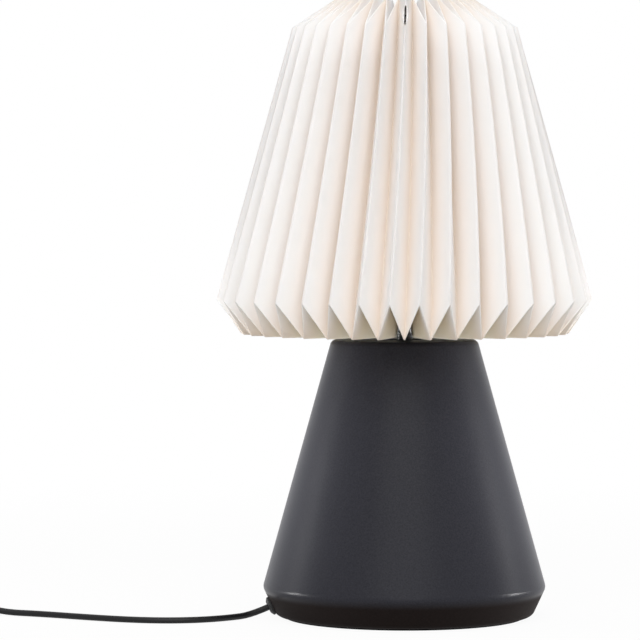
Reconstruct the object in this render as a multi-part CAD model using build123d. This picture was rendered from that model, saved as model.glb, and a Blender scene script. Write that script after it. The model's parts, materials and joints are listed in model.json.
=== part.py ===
from build123d import *
import math
import os

# Pleated table lamp. Millimetres, Z up, standing on Z = 0 with its axis on Z and its front towards -Y.

# Ceramic base
felt_thickness = 1.2
belly_radius = 85.0
belly_height = 18.5
belly_rounding = 5.0
band_taper = 8.0
foot_rounding = 5.0
base_top_radius = 43.8
base_top_height = 167.0
base_top_rounding = 4.0
base_wall = 6.5
base_top_wall = 7.0
top_recess_gap = 0.4
top_recess_clearance = 0.5
base_floor = 5.5
foot_land = 15.5
cover_thickness = 2.0
cover_recess = 3.0
cover_ledge = 5.0
cover_clearance = 0.3
cover_rounding = 0.6
felt_edge_inset = 0.5
felt_recess_gap = 0.7

# Threaded lamp tube and what clamps it
tube_radius = 4.95
tube_wall = 0.95
tube_tail = 10.0
thread_clearance = 0.1
tube_hole_clearance = 0.4
washer_clearance = 0.2
washer_rounding = 0.8
stem_length = 21.0
nut_wall = 1.95
nut_height = 4.5
nut_chamfer = 0.7
nut_chamfer_width = 1.2
top_washer_reach = 3.8
inner_washer_reach = 7.0
washer_thickness = 1.5

# Lamp holder
holder_neck_wall = 2.45
holder_neck_height = 8.0
holder_neck_straight = 6.0
holder_cap_height = 28.0
holder_cap_skirt = 10.0
holder_radius = 19.0
holder_wall = 2.0
cap_throat_radius = 11.0
cap_throat_rise = 3.0
cap_throat_step = 4.0
cap_shoulder_drop = 2.0
cap_mouth_rounding = 1.0
cap_neck_rounding = 2.0
cap_shoulder_rounding = 3.0
core_height = 15.0
core_clearance = 0.2
core_foot_reach = 3.0
core_foot_height = 3.0
core_rounding = 0.8
lead_hole_clearance = 0.6
shell_height = 34.0
shell_overhang = 0.5
shell_flange_reach = 4.0
shell_flange_height = 2.5
shell_flange_lift = 6.0
shell_lead_in = 1.6
shell_lead_in_length = 4.0
shell_flange_rounding = 0.8
shell_flange_top_rounding = 0.6
shell_mouth_rounding = 1.0
screw_shell_wall = 0.5
screw_shell_height = 23.0
screw_shell_clearance = 0.3
contact_spring_radius = 6.0
contact_rise = 1.8
contact_rim_height = 0.7
contact_slope_width = 2.8
contact_rounding = 0.8
ring_reach = 9.0
ring_height = 8.0
ring_rim_height = 2.0
ring_slope_width = 5.0
ring_rim_rounding = 1.0
ring_top_rounding = 1.2
ring_notches = 24
ring_notch_radius = 1.1

# Shade carrier
carrier_wire = 2.6
carrier_bend = 14.0
carrier_foot_rise = 16.0
carrier_bow_rise = 40.0
carrier_bow_drop = 18.0
carrier_ring_inset = 3.0
carrier_bulb_room = 5.0
carrier_collar_reach = 13.5
carrier_collar_thickness = 1.4
carrier_arms = 3
carrier_gap = 0.3

# Bulb
bulb_radius = 22.5
bulb_cap_radius = 13.0
bulb_cap_height = 19.0
bulb_cap_room = 1.6
bulb_length = 84.0
bulb_globe_wall = 1.2
bulb_housing_inset = 1.6
bulb_neck_overhang = 1.2
bulb_contact_radius = 5.0
bulb_contact_height = 1.2
bulb_insulator_height = 4.0
bulb_insulator_inset = 1.6
bulb_contact_taper = 1.0
bulb_contact_rounding = 0.5
bulb_cap_lead_in = 2.0
bulb_cap_rounding = 1.0
bulb_neck_height = 4.0
bulb_neck_flare = 0.25
bulb_shoulder_flare = 0.22

# Pleated shade: the ridges and valleys run down and outwards, and both ends of the sheet turn inwards
pleats = 35
sheet_thickness = 0.5
widest_fold_offset = 1.0
shade_gap = 4.0
shade_height = 200.0
shade_rim_radius = 113.0
shade_shoulder_radius = 68.0
rim_pleat_depth = 14.7
shoulder_pleat_depth = 26.5
rim_notch = 21.0
shoulder_notch = 17.5
neck_radius = 28.0
rim_radius = 36.0
neck_fold_drop = 8.1
rim_fold_drop = 0.6
facet_bands = 3
front_azimuth = -90.0
seam_draw = 3.8
quarter_draw = 2.0
neck_draw = 3.5
neck_draw_reach = 15.0
seam_pinch = 18.5

# Gathering cord of the shade, and the slit in the front seam that shows it
gather_inset = 5.5
gather_drop = 13.8
gather_cord_radius = 1.6
gather_clearance = 0.3
gather_hole_sides = 6
gather_hole_share = 0.8
slit_height = 13.0
slit_width = 3.0
slit_inset = 2.0
slit_reach = 12.0

# Mains cord
cord_radius = 1.9
cord_lift = 0.1
grommet_azimuth = -172.0
grommet_height = 7.8
grommet_neck_wall = 1.5
grommet_flange_reach = 2.1
grommet_flange_thickness = 2.4
grommet_flange_rim = 1.1
grommet_rounding = 0.5
grommet_lip_reach = 0.6
grommet_lip_thickness = 1.4
grommet_clearance = 0.2
grommet_reach_inside = 0.6
bore_clearance = 0.2

# Cord switch
switch_length = 60.0
switch_width = 23.0
switch_height = 16.0
switch_wall = 1.8
switch_centre = (-303.0, 1.5)
switch_corner = 8.0
switch_edge = 2.5
switch_cord_clearance = 0.1
cord_grip = 3.0
rocker_radius = 9.6
rocker_width = 11.0
rocker_clearance = 0.35
rocker_pivot_height = 11.5
rocker_pin_radius = 1.4
rocker_pin_clearance = 0.08
rocker_tilt = 7.0
rocker_end_rise = 6.4
rocker_dip = 1.2
rocker_keel = 2.4
ear_thickness = 1.6
ear_length = 6.0
ear_seam_gap = 0.6
switch_screw_radius = 1.6
switch_screw_place = (22.0, 5.5)
screw_boss_radius = 3.2
screw_head_radius = 2.6
screw_head_height = 1.6
screw_head_depth = 2.4
screw_head_clearance = 0.2
screw_end_gap = 1.0

# Coil of the cord that is put away
coil_centre = (-339.5, 52.0)
coil_outer_radius = 27.5
coil_turn_gap = 1.2
coil_layer_gap = 0.7
coil_layers = 4
coil_half_turns = 4
coil_gap_spacing = 3.0
tie_width = 6.0
tie_thickness = 0.8
tie_clearance = 0.3
tie_rounding = 1.6

# Plug
plug_axis_y = 94.0
plug_cord_end = -334.0
plug_relief_length = 18.0
plug_relief_wall = 0.9
relief_ribs = 5
relief_rib_gap = 1.2
relief_rib_depth = 0.5
plug_length = 36.0
plug_width = 35.0
plug_thickness = 13.7
plug_nose_width = 26.0
plug_nose_length = 3.0
plug_tail_width = 13.0
plug_tail_length = 25.92
plug_corner = 2.0
plug_edge = 1.8
pin_radius = 2.0
pin_length = 19.0
pin_spacing = 18.6
pin_root = 8.0
pin_root_inset = 0.3
pin_tip_rounding = 1.2

# Sizes that follow from those above
foot_radius = belly_radius - band_taper
cover_radius = foot_radius - foot_land
tube_bore_radius = tube_radius - tube_wall
nut_across_flats = 2 * (tube_radius + thread_clearance + nut_wall)
top_washer_radius = nut_across_flats / 2 + top_washer_reach
top_recess_radius = top_washer_radius + top_recess_clearance
top_seat_height = base_top_height - washer_thickness - nut_height - top_recess_gap
inner_washer_radius = nut_across_flats / 2 + inner_washer_reach
holder_bottom = base_top_height + stem_length
holder_neck_radius = tube_radius + thread_clearance + holder_neck_wall
shell_radius = holder_radius + shell_overhang
shell_bore_radius = bulb_cap_radius + bulb_cap_room
shell_flange_radius = holder_radius + shell_flange_reach
ring_radius = holder_radius + ring_reach
carrier_collar_radius = holder_radius + carrier_collar_reach
carrier_bow_radius = bulb_radius + carrier_bulb_room
carrier_ring_radius = neck_radius + carrier_ring_inset
shade_bottom = base_top_height + shade_gap
shade_top = shade_bottom + shade_height
ridge_top = (shade_shoulder_radius, shade_top - shoulder_notch)
ridge_bottom = (shade_rim_radius, shade_bottom + rim_notch)
valley_top = (shade_shoulder_radius - shoulder_pleat_depth, shade_top)
valley_bottom = (shade_rim_radius - rim_pleat_depth, shade_bottom)
seam_top = (valley_top[0] + seam_pinch, shade_top)
gather_radius = valley_top[0] - gather_inset
gather_height = shade_top - gather_drop
cord_bore = cord_radius + bore_clearance
grommet_neck_radius = cord_bore + grommet_neck_wall
grommet_flange_radius = grommet_neck_radius + grommet_flange_reach
grommet_lip_radius = grommet_neck_radius + grommet_lip_reach
coil_step = (2 * cord_radius + coil_turn_gap) / 2
coil_layer_rise = 2 * cord_radius + coil_layer_gap
pin_root_radius = pin_radius - pin_root_inset

os.makedirs("parts", exist_ok=True)


def save(name, shape):
    export_step(shape, f"parts/{name}.step")


def turned(points, rounds=()):
    """A solid of revolution about Z from its (radius, height) outline, with (corner, radius) rounds."""
    face = make_face(Plane.XZ * Polyline(*points, close=True))
    face = face.faces()[0]
    for corner, radius in rounds:
        place = Vector(points[corner][0], 0, points[corner][1])
        vertex = face.vertices().sort_by_distance(place)[0]
        face = face.fillet_2d(radius, [vertex])
    return revolve(face, Axis.Z)


def ring(outer, inner, bottom, height):
    return turned([(inner, bottom), (outer, bottom), (outer, bottom + height), (inner, bottom + height)])


def rod(radius, bottom, height):
    return Pos(0, 0, bottom) * Cylinder(radius, height, align=(Align.CENTER, Align.CENTER, Align.MIN))


def hex_nut(bottom):
    flat = nut_across_flats / 2
    top = bottom + nut_height
    body = Pos(0, 0, bottom) * extrude(RegularPolygon(flat, 6, major_radius=False), nut_height)
    chamfered = turned(
        [
            (0, bottom),
            (flat, bottom),
            (flat + nut_chamfer_width, bottom + nut_chamfer),
            (flat + nut_chamfer_width, top - nut_chamfer),
            (flat, top),
            (0, top),
        ]
    )
    return (body & chamfered) - rod(tube_radius + thread_clearance, bottom, nut_height)


def route_radii(points):
    """The bend at each corner of a route: 0.45 of its shorter run over the half turn's tangent."""
    radii = []
    for before, at, after in zip(points, points[1:], points[2:]):
        run_in = Vector(at) - Vector(before)
        run_out = Vector(after) - Vector(at)
        half_turn = math.radians(run_in.get_angle(run_out)) / 2
        radii.append(0.45 * min(run_in.length, run_out.length) / math.tan(half_turn))
    return radii


def tube_along(name, points, radius):
    radii = route_radii(points)
    path = FilletPolyline(*points, radius=radii)
    section = Plane(origin=path @ 0, z_dir=path % 0) * Circle(radius)
    tube = sweep(section, path=path)
    expected = math.pi * radius**2 * path.length
    print(name, "length", round(path.length, 1), "radii", [round(r, 1) for r in radii])
    print(name, "volume over section times length", round(tube.volume / expected, 4))
    return tube


# Base: the cone, its rounded belly and the band that tapers in below it
foot_z = felt_thickness
ledge_z = foot_z + cover_recess
ceiling_z = top_seat_height - base_top_wall
cone_slope = (belly_radius - base_top_radius) / (base_top_height - belly_height)
band_slope = (belly_radius - foot_radius) / (belly_height - foot_z)
floor_z = foot_z + base_floor


def cone_radius(z):
    return belly_radius - (z - belly_height) * cone_slope


def band_radius(z):
    return foot_radius + (z - foot_z) * band_slope


tube_hole = tube_radius + tube_hole_clearance
recess_radius = cover_radius + cover_clearance
hollow_wall = base_wall / math.cos(math.atan(cone_slope))
band_wall = base_wall / math.cos(math.atan(band_slope))

base_body = turned(
    [
        (recess_radius, foot_z),
        (foot_radius, foot_z),
        (belly_radius, belly_height),
        (base_top_radius, base_top_height),
        (top_recess_radius, base_top_height),
        (top_recess_radius, top_seat_height),
        (tube_hole, top_seat_height),
        (tube_hole, ceiling_z),
        (cone_radius(ceiling_z) - hollow_wall, ceiling_z),
        (cone_radius(belly_height) - hollow_wall, belly_height),
        (band_radius(floor_z) - band_wall, floor_z),
        (recess_radius - cover_ledge, floor_z),
        (recess_radius - cover_ledge, ledge_z),
        (recess_radius, ledge_z),
    ],
    [(1, foot_rounding), (2, belly_rounding), (3, base_top_rounding)],
)

# The grommet sits square on the band, and its axis points outwards and down
band_lean = math.atan(band_slope)
grommet_turn = math.radians(grommet_azimuth)
out_level = Vector(math.cos(grommet_turn), math.sin(grommet_turn), 0)
grommet_axis = out_level * math.cos(band_lean) - Vector(0, 0, math.sin(band_lean))
grommet_seat = out_level * band_radius(grommet_height) + Vector(0, 0, grommet_height)
grommet_plane = Plane(origin=grommet_seat, z_dir=grommet_axis)
grommet_wall = base_wall + grommet_reach_inside

neck_hole = Cylinder(grommet_neck_radius + grommet_clearance, grommet_wall * 3)
base_body = base_body - grommet_plane * Pos(0, 0, -grommet_wall / 2) * neck_hole

grommet_outline = [
    (cord_bore, grommet_flange_thickness),
    (grommet_neck_radius, grommet_flange_thickness),
    (grommet_flange_radius, grommet_flange_rim),
    (grommet_flange_radius, 0),
    (grommet_neck_radius, 0),
    (grommet_neck_radius, -grommet_wall),
    (grommet_lip_radius, -grommet_wall),
    (grommet_neck_radius, -grommet_wall - grommet_lip_thickness),
    (cord_bore, -grommet_wall - grommet_lip_thickness),
]
cord_grommet = grommet_plane * turned(grommet_outline, [(1, grommet_rounding), (2, grommet_rounding)])

bottom_cover = turned(
    [
        (0, ledge_z - cover_thickness),
        (cover_radius, ledge_z - cover_thickness),
        (cover_radius, ledge_z),
        (0, ledge_z),
    ],
    [(1, cover_rounding)],
)
felt_outer = foot_radius - foot_rounding - felt_edge_inset
felt_ring = ring(felt_outer, recess_radius + felt_recess_gap, 0, felt_thickness)

save("base_body", base_body)
save("cord_grommet", cord_grommet)
save("bottom_cover", bottom_cover)
save("felt_ring", felt_ring)

# Lamp tube, clamped through the top of the base by a washer and a nut on each side, the upper ones sunk in
tube_top = holder_bottom + holder_neck_height
tube_bottom = ceiling_z - tube_tail
save("lamp_tube", ring(tube_radius, tube_bore_radius, tube_bottom, tube_top - tube_bottom))
washer_bore = tube_radius + washer_clearance
save("inner_washer", ring(inner_washer_radius, washer_bore, ceiling_z - washer_thickness, washer_thickness))
save("inner_nut", hex_nut(ceiling_z - washer_thickness - nut_height))
top_washer = turned(
    [
        (washer_bore, top_seat_height),
        (top_washer_radius, top_seat_height),
        (top_washer_radius, top_seat_height + washer_thickness),
        (washer_bore, top_seat_height + washer_thickness),
    ],
    [(2, washer_rounding)],
)
save("top_washer", top_washer)
save("top_nut", hex_nut(top_seat_height + washer_thickness))

# Lamp holder: cap on the tube, insulating core in the cap, shell over the core
cap_top = holder_bottom + holder_cap_height
cap_shoulder = cap_top - holder_cap_skirt
core_bottom = cap_shoulder + core_clearance
core_top = core_bottom + core_height
core_radius = holder_radius - holder_wall - core_clearance
shell_top = cap_top + shell_height
flange_bottom = cap_top + shell_flange_lift
flange_top = flange_bottom + shell_flange_height
collar_top = flange_top + carrier_collar_thickness

holder_cap = turned(
    [
        (tube_radius + thread_clearance, holder_bottom),
        (holder_neck_radius, holder_bottom),
        (holder_neck_radius, holder_bottom + holder_neck_straight),
        (holder_radius, cap_shoulder - cap_shoulder_drop),
        (holder_radius, cap_top),
        (holder_radius - holder_wall, cap_top),
        (holder_radius - holder_wall, cap_shoulder),
        (cap_throat_radius, tube_top + cap_throat_rise),
        (cap_throat_radius - cap_throat_step, tube_top),
        (tube_radius + thread_clearance, tube_top),
    ],
    [(1, cap_mouth_rounding), (2, cap_neck_rounding), (3, cap_shoulder_rounding)],
)
lead_hole_radius = cord_radius + lead_hole_clearance
holder_core = turned(
    [
        (lead_hole_radius, core_bottom),
        (cap_throat_radius + core_foot_reach, core_bottom),
        (core_radius, core_bottom + core_foot_height),
        (core_radius, core_top),
        (lead_hole_radius, core_top),
    ],
    [(3, core_rounding)],
)
holder_shell = turned(
    [
        (core_radius + core_clearance, cap_top),
        (shell_radius, cap_top),
        (shell_radius, flange_bottom),
        (shell_flange_radius, flange_bottom),
        (shell_flange_radius, flange_top),
        (shell_radius, flange_top),
        (shell_radius, shell_top),
        (shell_bore_radius + shell_lead_in, shell_top),
        (shell_bore_radius, shell_top - shell_lead_in_length),
        (shell_bore_radius, core_top + thread_clearance),
        (core_radius + core_clearance, core_top + thread_clearance),
    ],
    [(3, shell_flange_rounding), (4, shell_flange_top_rounding), (6, shell_mouth_rounding)],
)
screw_shell_radius = shell_bore_radius - screw_shell_clearance
screw_shell_bore = screw_shell_radius - screw_shell_wall
holder_screw_shell = ring(screw_shell_radius, screw_shell_bore, core_top, screw_shell_height)
holder_contact = turned(
    [
        (0, core_top),
        (contact_spring_radius, core_top),
        (contact_spring_radius, core_top + contact_rim_height),
        (contact_spring_radius - contact_slope_width, core_top + contact_rise),
        (0, core_top + contact_rise),
    ],
    [(3, contact_rounding)],
)
ring_bore = shell_radius + core_clearance
shade_ring = turned(
    [
        (ring_bore, collar_top),
        (ring_radius, collar_top),
        (ring_radius, collar_top + ring_rim_height),
        (ring_radius - ring_slope_width, collar_top + ring_height),
        (ring_bore, collar_top + ring_height),
    ],
    [(2, ring_rim_rounding), (3, ring_top_rounding)],
)
notch = Pos(ring_radius, 0, collar_top) * Cylinder(ring_notch_radius, 4 * ring_height)
shade_ring = shade_ring - PolarLocations(0, ring_notches) * notch

save("holder_cap", holder_cap)
save("holder_core", holder_core)
save("holder_shell", holder_shell)
save("holder_screw_shell", holder_screw_shell)
save("holder_contact", holder_contact)
save("shade_ring", shade_ring)

# Shade: the fold lines are chains of (radius, height) points, from the neck down to the rim
neck_fold = math.tan(math.radians(neck_fold_drop))
rim_fold = math.tan(math.radians(rim_fold_drop))


def turned_in(corner, radius, drop):
    return (radius, corner[1] - (corner[0] - radius) * drop)


ridge_chain = [
    turned_in(ridge_top, neck_radius, neck_fold),
    ridge_top,
    ridge_bottom,
    turned_in(ridge_bottom, rim_radius, rim_fold),
]
valley_chain = [
    turned_in(valley_top, neck_radius, neck_fold),
    valley_top,
    valley_bottom,
    turned_in(valley_bottom, rim_radius, rim_fold),
]
seam_chain = [turned_in(seam_top, neck_radius, neck_fold), seam_top, *valley_chain[2:]]
half_pitch = math.radians(180 / pleats)
facet_width = math.dist(
    (ridge_chain[3][0], 0, ridge_chain[3][1]),
    (
        valley_chain[3][0] * math.cos(half_pitch),
        valley_chain[3][0] * math.sin(half_pitch),
        valley_chain[3][1],
    ),
)


def fold_offset(radius):
    """How far a skin's fold line stands off the sheet's middle at this radius."""
    half_fold = min(radius * math.sin(half_pitch) / facet_width, 1.0)
    return min(sheet_thickness / 2 / half_fold, widest_fold_offset)


def skin_chain(chain, side):
    """The fold line of one skin of the sheet: side 1 is the outside and -1 the inside."""
    normals = []
    for a, b in zip(chain, chain[1:]):
        run = math.dist(a, b)
        normals.append(((a[1] - b[1]) / run, (b[0] - a[0]) / run))
    normals = [normals[0], *normals, normals[-1]]
    skin = []
    for point, before, after in zip(chain, normals, normals[1:]):
        stretch = 1 + before[0] * after[0] + before[1] * after[1]
        reach = side * fold_offset(point[0]) / stretch
        skin.append((point[0] + (before[0] + after[0]) * reach, point[1] + (before[1] + after[1]) * reach))
    return skin


def at_azimuth(point, degrees):
    turn = math.radians(degrees)
    return Vector(point[0] * math.cos(turn), point[0] * math.sin(turn), point[1])


def drawn_azimuth(turn, at_neck):
    """Where a fold stands that is this many degrees from the seam while the pleats are even."""
    angle = math.radians(turn)
    drawn = turn - seam_draw * math.sin(angle) - quarter_draw * math.sin(2 * angle)
    from_seam = ((turn + 180) % 360 - 180) / neck_draw_reach
    if at_neck:
        drawn -= neck_draw * from_seam * math.exp((1 - from_seam**2) / 2)
    return front_azimuth + drawn


def fold_line(chain, turn):
    """One fold's points from neck to rim, its long run in bands that follow the sheet's slight twist."""
    neck_azimuth = drawn_azimuth(turn, True)
    rim_azimuth = drawn_azimuth(turn, False)
    top, shoulder = [at_azimuth(point, neck_azimuth) for point in chain[:2]]
    rim, end = [at_azimuth(point, rim_azimuth) for point in chain[2:]]
    inner = [shoulder + (rim - shoulder) * (band / facet_bands) for band in range(1, facet_bands)]
    return [top, shoulder, *inner, rim, end]


def facet(a, b, c, d):
    """The sheet between two fold lines, a to b and d to c, as two flat triangles."""
    return [Face(Wire.make_polygon(corners)) for corners in ([a, b, c], [a, c, d])]


def half_pleat(ridges, valleys):
    """The facets between a ridge and a valley, on both skins, with the sheet's edges at both ends."""
    faces = []
    for ridge, valley in zip(ridges, valleys):
        for step in range(len(ridge) - 1):
            faces += facet(ridge[step], ridge[step + 1], valley[step + 1], valley[step])
    for end in (0, -1):
        faces += facet(ridges[0][end], ridges[1][end], valleys[1][end], valleys[0][end])
    return faces


def skin_folds(chain, turn):
    return [fold_line(skin_chain(chain, side), turn) for side in (1, -1)]


pitch = 360 / pleats
valley_folds = [skin_folds(valley_chain if pleat else seam_chain, pleat * pitch) for pleat in range(pleats)]
shade_faces = []
for pleat in range(pleats):
    ridge_folds = skin_folds(ridge_chain, (pleat + 0.5) * pitch)
    for valley in (pleat, (pleat + 1) % pleats):
        shade_faces += half_pleat(ridge_folds, valley_folds[valley])
pleated_shade = Solid(Shell(shade_faces))

# The gathering cord passes through a punched hole in every facet of the turned-in neck
hole_section = RegularPolygon(gather_cord_radius + gather_clearance, gather_hole_sides, major_radius=False)
hole_length = gather_hole_share * gather_radius * half_pitch
gather_holes = []
for half in range(2 * pleats):
    hole_azimuth = drawn_azimuth((half + 0.5) * pitch / 2, True)
    hole_turn = math.radians(hole_azimuth)
    hole_plane = Plane(
        origin=at_azimuth((gather_radius, gather_height), hole_azimuth),
        x_dir=(0, 0, 1),
        z_dir=(-math.sin(hole_turn), math.cos(hole_turn), 0),
    )
    gather_holes.append(extrude(hole_plane * hole_section, hole_length / 2, both=True))
pleated_shade = pleated_shade - gather_holes
gather_cord = Pos(0, 0, gather_height) * Torus(gather_radius, gather_cord_radius)

# The seam's slit is a lens in the shallow front valley, narrow at both ends
slit_bulge = (slit_height**2 / 4 + slit_width**2 / 4) / slit_width
slit_arcs = [
    RadiusArc((0, -slit_height / 2), (0, slit_height / 2), slit_bulge),
    RadiusArc((0, slit_height / 2), (0, -slit_height / 2), slit_bulge),
]
slit_plane = Plane(origin=(0, slit_inset - seam_top[0], gather_height), z_dir=(0, -1, 0))
slit = extrude(slit_plane * make_face(slit_arcs), slit_reach)
pleated_shade = pleated_shade - slit

save("pleated_shade", pleated_shade)
save("gather_cord", gather_cord)

# Shade carrier: the shade's turned-in neck lies on its top ring
rest_height = ridge_chain[1][1] - (ridge_chain[1][0] - carrier_ring_radius) * neck_fold
neck_underside = rest_height - widest_fold_offset
carrier_ring_z = neck_underside - carrier_gap - carrier_wire / 2
carrier_foot_radius = carrier_collar_radius - carrier_wire / 2 - carrier_gap
carrier_points = [
    (carrier_foot_radius, 0, collar_top - carrier_collar_thickness / 2),
    (carrier_foot_radius, 0, collar_top + carrier_foot_rise),
    (carrier_bow_radius, 0, collar_top + carrier_bow_rise),
    (carrier_bow_radius, 0, carrier_ring_z - carrier_bow_drop),
    (carrier_ring_radius, 0, carrier_ring_z),
]
carrier_path = FilletPolyline(*carrier_points, radius=carrier_bend)
carrier_section = Plane(origin=carrier_path @ 0, z_dir=carrier_path % 0) * Circle(carrier_wire / 2)
carrier_arm = sweep(carrier_section, path=carrier_path)
collar_bore = shell_radius + carrier_gap
carrier_collar = ring(carrier_collar_radius, collar_bore, flange_top, carrier_collar_thickness)
shade_carrier = carrier_collar + Pos(0, 0, carrier_ring_z) * Torus(carrier_ring_radius, carrier_wire / 2)
for arm in PolarLocations(0, carrier_arms, start_angle=90):
    shade_carrier = shade_carrier + arm * carrier_arm
save("shade_carrier", shade_carrier)

# Bulb: contact, insulator, screw cap, housing and globe
bulb_bottom = core_top + contact_rise + screw_shell_clearance
insulator_bottom = bulb_bottom + bulb_contact_height
bulb_cap_bottom = insulator_bottom + bulb_insulator_height
bulb_cap_top = bulb_cap_bottom + bulb_cap_height
globe_centre = bulb_bottom + bulb_length - bulb_radius
housing_radius = bulb_radius - bulb_housing_inset
housing_top = globe_centre - math.sqrt(bulb_radius**2 - housing_radius**2)
bulb_neck_radius = bulb_cap_radius + bulb_neck_overhang
insulator_radius = bulb_cap_radius - bulb_insulator_inset
bulb_contact = turned(
    [
        (0, bulb_bottom),
        (bulb_contact_radius - bulb_contact_taper, bulb_bottom),
        (bulb_contact_radius, insulator_bottom),
        (0, insulator_bottom),
    ],
    [(1, bulb_contact_rounding)],
)
bulb_insulator = turned(
    [
        (0, insulator_bottom),
        (bulb_contact_radius, insulator_bottom),
        (insulator_radius, bulb_cap_bottom),
        (0, bulb_cap_bottom),
    ]
)
bulb_cap = turned(
    [
        (0, bulb_cap_bottom),
        (insulator_radius, bulb_cap_bottom),
        (bulb_cap_radius, bulb_cap_bottom + bulb_cap_lead_in),
        (bulb_cap_radius, bulb_cap_top),
        (0, bulb_cap_top),
    ],
    [(2, bulb_cap_rounding)],
)
housing_side = Spline(
    (bulb_neck_radius, bulb_cap_top + bulb_neck_height),
    (housing_radius, housing_top),
    tangents=[(bulb_neck_flare, 1), (bulb_shoulder_flare, 1)],
)
housing_outline = [
    Line((0, bulb_cap_top), (bulb_neck_radius, bulb_cap_top)),
    Line((bulb_neck_radius, bulb_cap_top), housing_side @ 0),
    housing_side,
    Line(housing_side @ 1, (0, housing_top)),
    Line((0, housing_top), (0, bulb_cap_top)),
]
bulb_housing = revolve(Plane.XZ * make_face(housing_outline), Axis.Z)
globe = Pos(0, 0, globe_centre) * (Sphere(bulb_radius) - Sphere(bulb_radius - bulb_globe_wall))
bulb_globe = split(globe, Plane.XY.offset(housing_top), keep=Keep.TOP)

save("bulb_contact", bulb_contact)
save("bulb_insulator", bulb_insulator)
save("bulb_cap", bulb_cap)
save("bulb_housing", bulb_housing)
save("bulb_globe", bulb_globe)

# Mains cord: inside the lamp, along the floor to the switch, and on to the coil and the plug
cord_z = cord_radius + cord_lift
bore_middle = grommet_seat - grommet_axis * grommet_wall / 2
inner_points = [
    tuple(bore_middle),
    tuple(grommet_seat - grommet_axis * 24),
    (-38, -5, 36),
    (-20, -2, 68),
    (-5, 0, 104),
    (0, 0, 140),
    (0, 0, core_bottom - 1),
]
run_points = [
    tuple(bore_middle),
    tuple(grommet_seat + grommet_axis * 12.8),
    (-105, -26, cord_z),
    (-121, -37, cord_z),
    (-141, -41, cord_z),
    (-163, -37, cord_z),
    (-190, -24, cord_z),
    (-218, -8, cord_z),
    (-244, -1, cord_z + 0.4),
    (-259, 1.5, switch_height / 2),
    (switch_centre[0] + switch_length / 2 - cord_grip, switch_centre[1], switch_height / 2),
]
coil_z = tie_thickness + cord_lift + tie_clearance + cord_radius
coil_start = Vector(coil_centre[0] - coil_outer_radius, coil_centre[1], coil_z)
coil_lead = Vector(0, 2 * cord_radius, 0)
link_points = [
    (switch_centre[0] - switch_length / 2 + cord_grip, switch_centre[1], switch_height / 2),
    (-345, switch_centre[1], switch_height / 2),
    (-360, 12, 4.8),
    (coil_start.X, 30, coil_z),
    tuple(coil_start - coil_lead),
]
save("inner_lead", tube_along("inner_lead", inner_points, cord_radius))
save("cord_run", tube_along("cord_run", run_points, cord_radius))
save("cord_link", tube_along("cord_link", link_points, cord_radius))

# Coil: half turns that spiral in and out again, and climb a layer on a tilted half turn at each end
coil_edges = [Line(coil_start - coil_lead, coil_start)]
coil_at = coil_start
coil_radius = coil_outer_radius
coil_side = -1
for layer in range(coil_layers):
    inwards = layer % 2 == 0
    last = layer == coil_layers - 1
    steps = [-coil_step if inwards else coil_step] * (coil_half_turns + last) + [0] * (not last)
    for step in steps:
        coil_radius += step
        coil_side = -coil_side
        rise = coil_layer_rise if step == 0 else 0
        knot = Vector(coil_centre[0] + coil_side * coil_radius, coil_centre[1], coil_at.Z + rise)
        across = knot - coil_at
        crown = (coil_at + knot) * 0.5 + Vector(0, coil_side * across.length / 2, 0)
        coil_edges.append(ThreePointArc(coil_at, crown, knot))
        coil_at = knot
coil_edges.append(Line(coil_at, coil_at + coil_lead))
coil_wire = Wire([edge.edge() for edge in coil_edges])
coil_section = Plane(origin=coil_start - coil_lead, z_dir=coil_lead) * Circle(cord_radius)
cord_coil = sweep(coil_section, path=coil_wire)
print("cord_coil length", round(coil_wire.length, 1))
coil_expected = math.pi * cord_radius**2 * coil_wire.length
print("cord_coil volume over section times length", round(cord_coil.volume / coil_expected, 4))


def least_gap(edges, spacing):
    """The least gap of a wound tube to itself, on points along its line."""
    points = []
    for edge in edges:
        count = max(int(edge.length / spacing), 2)
        points += [edge @ (k / count) for k in range(count)]
    apart = int(4 * cord_radius / spacing) + 2
    nearest = min((a - b).length for i, a in enumerate(points) for b in points[i + apart :])
    return nearest - 2 * cord_radius


print("cord_coil least gap to itself", round(least_gap(coil_edges, coil_gap_spacing), 2))
save("cord_coil", cord_coil)

coil_top = coil_at.Z + cord_radius
coil_inner_radius = coil_outer_radius - coil_half_turns * coil_step
tie_sag = tie_width**2 / 8 / (coil_inner_radius - cord_radius)
tie_inside = coil_inner_radius - cord_radius - tie_sag - tie_clearance
tie_outside = coil_outer_radius + cord_radius + tie_clearance
tie_low = coil_z - cord_radius - tie_clearance
tie_high = coil_top + tie_clearance
tie_plane = Plane(
    origin=(coil_centre[0] + (tie_inside + tie_outside) / 2, coil_centre[1], (tie_low + tie_high) / 2),
    x_dir=(1, 0, 0),
    z_dir=(0, 1, 0),
)
tie_size = (tie_outside - tie_inside, tie_high - tie_low)
tie_face = RectangleRounded(
    tie_size[0] + 2 * tie_thickness, tie_size[1] + 2 * tie_thickness, tie_rounding + tie_thickness
)
tie_face = tie_face - RectangleRounded(tie_size[0], tie_size[1], tie_rounding)
cord_tie = tie_plane * extrude(tie_face, tie_width / 2, both=True)
save("cord_tie", cord_tie)

plug_z = plug_thickness / 2 + cord_lift
tail_start = coil_at + coil_lead
tail_points = [
    tuple(tail_start),
    (tail_start.X, 70, tail_start.Z),
    (-363, 86, 11),
    (-349, plug_axis_y, plug_z),
    (plug_cord_end, plug_axis_y, plug_z),
]
save("cord_tail", tube_along("cord_tail", tail_points, cord_radius))

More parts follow.
